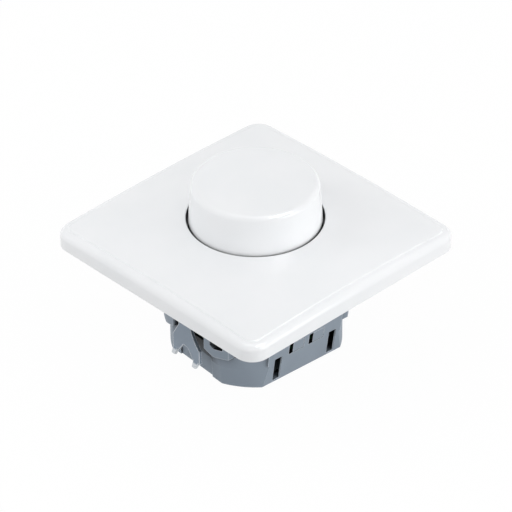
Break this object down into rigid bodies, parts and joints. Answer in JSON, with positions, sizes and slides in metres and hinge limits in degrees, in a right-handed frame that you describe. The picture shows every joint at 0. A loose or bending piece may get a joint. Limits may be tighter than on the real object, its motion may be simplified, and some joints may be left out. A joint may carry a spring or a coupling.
{
  "type": "dimmer switch",
  "caption": "Flush wall dimmer: a square crowned white plate with a round push-and-turn knob, on a grey insert with spreading claws that clamps in a round wall box",
  "frame": {"origin": "centre of the wall plane behind the cover plate, on the knob's axis and midway between the box screws", "axes": "+Z out of the wall along the knob's axis, +X level to the right and +Y up for someone facing the wall; the claws are on -X and +X, and the insert sits 4 degrees clockwise behind the plate, as pictured"},
  "size_m": [0.082, 0.082, 0.0544],
  "materials": {
    "white_plastic": "smooth moulded white plastic with a soft gloss",
    "grey_plastic": "fine matt grey moulded plastic",
    "zinc_steel": "dull zinc-plated steel",
    "spring_steel": "bare spring steel",
    "nickel": "nickel-plated brass",
    "brass": "bare brass",
    "black_plastic": "black moulding compound",
    "board": "green coated circuit board",
    "ferrite": "dark sintered ferrite",
    "copper": "enamelled copper wire",
    "aluminium": "bare aluminium sheet",
    "film_case": "moulded capacitor case",
    "resistor_body": "lacquered resistor body",
    "clear_glass": "clear glass",
    "track_plastic": "brown hard paper"
  },
  "bodies": {
    "insert": {"cover_plate": "white_plastic", "cover_nut": "nickel", "washer": "zinc_steel", "lock_nut": "nickel", "bushing": "nickel", "support_frame": "zinc_steel", "frame_rivets": "zinc_steel", "carrier": "grey_plastic", "rear_housing": "grey_plastic", "pot_case": "zinc_steel", "resistor_track": "track_plastic", "pot_pins": "brass", "switch_case": "black_plastic", "slider_spring": "spring_steel", "switch_pins": "brass", "circuit_board": "board", "heat_sink": "aluminium", "triac": "black_plastic", "triac_screw": "zinc_steel", "choke_core": "ferrite", "choke_winding": "copper", "film_capacitor": "film_case", "timing_capacitor": "film_case", "resistors": "resistor_body", "diac": "clear_glass", "fuse_tube": "clear_glass", "fuse_caps": "nickel", "fuse_clips": "brass", "terminals": "brass", "terminal_screws": "zinc_steel"},
    "rotor": {"wiper": "black_plastic"},
    "control": {"knob": "white_plastic", "knob_clip": "spring_steel", "control_shaft": "nickel"},
    "switch": {"switch_slider": "track_plastic"},
    "left_claw_arm": {"left_claw": "zinc_steel"},
    "right_claw_arm": {"right_claw": "zinc_steel"},
    "left_screw": {"left_claw_screw": "zinc_steel"},
    "right_screw": {"right_claw_screw": "zinc_steel"}
  },
  "joints": [
    {"name": "knob_turn", "type": "hinge", "parent": "insert", "child": "rotor", "pos_m": [0, 0, 0], "axis": [0, 0, 1], "range_deg": [-135, 135]},
    {"name": "knob_push", "type": "slide", "parent": "rotor", "child": "control", "axis": [0, 0, -1], "range_m": [0, 0.001], "stiffness_N_per_m": 3000, "springref_m": -0.001, "deforming": ["slider_spring"]},
    {"name": "switch_travel", "type": "slide", "parent": "insert", "child": "switch", "axis": [0, 0, -1], "range_m": [0, 0.001]},
    {"name": "left_screw_turn", "type": "hinge", "parent": "insert", "child": "left_screw", "pos_m": [-0.02344, 0.00164, 0], "axis": [0, 0, -1], "range_deg": [0, 720]},
    {"name": "right_screw_turn", "type": "hinge", "parent": "insert", "child": "right_screw", "pos_m": [0.02344, -0.00164, 0], "axis": [0, 0, -1], "range_deg": [0, 720]},
    {"name": "left_claw_spread", "type": "hinge", "parent": "insert", "child": "left_claw_arm", "pos_m": [-0.01975, 0.00138, -0.0085], "axis": [0.0698, 0.9976, 0], "range_deg": [0, 20]},
    {"name": "right_claw_spread", "type": "hinge", "parent": "insert", "child": "right_claw_arm", "pos_m": [0.01975, -0.00138, -0.0085], "axis": [-0.0698, -0.9976, 0], "range_deg": [0, 20]}
  ],
  "couplings": [
    {"joint": "switch_travel", "follows": "knob_push", "ratio": 1},
    {"joint": "left_screw_turn", "follows": "left_claw_spread", "ratio": 35.9},
    {"joint": "right_screw_turn", "follows": "right_claw_spread", "ratio": 35.9}
  ]
}
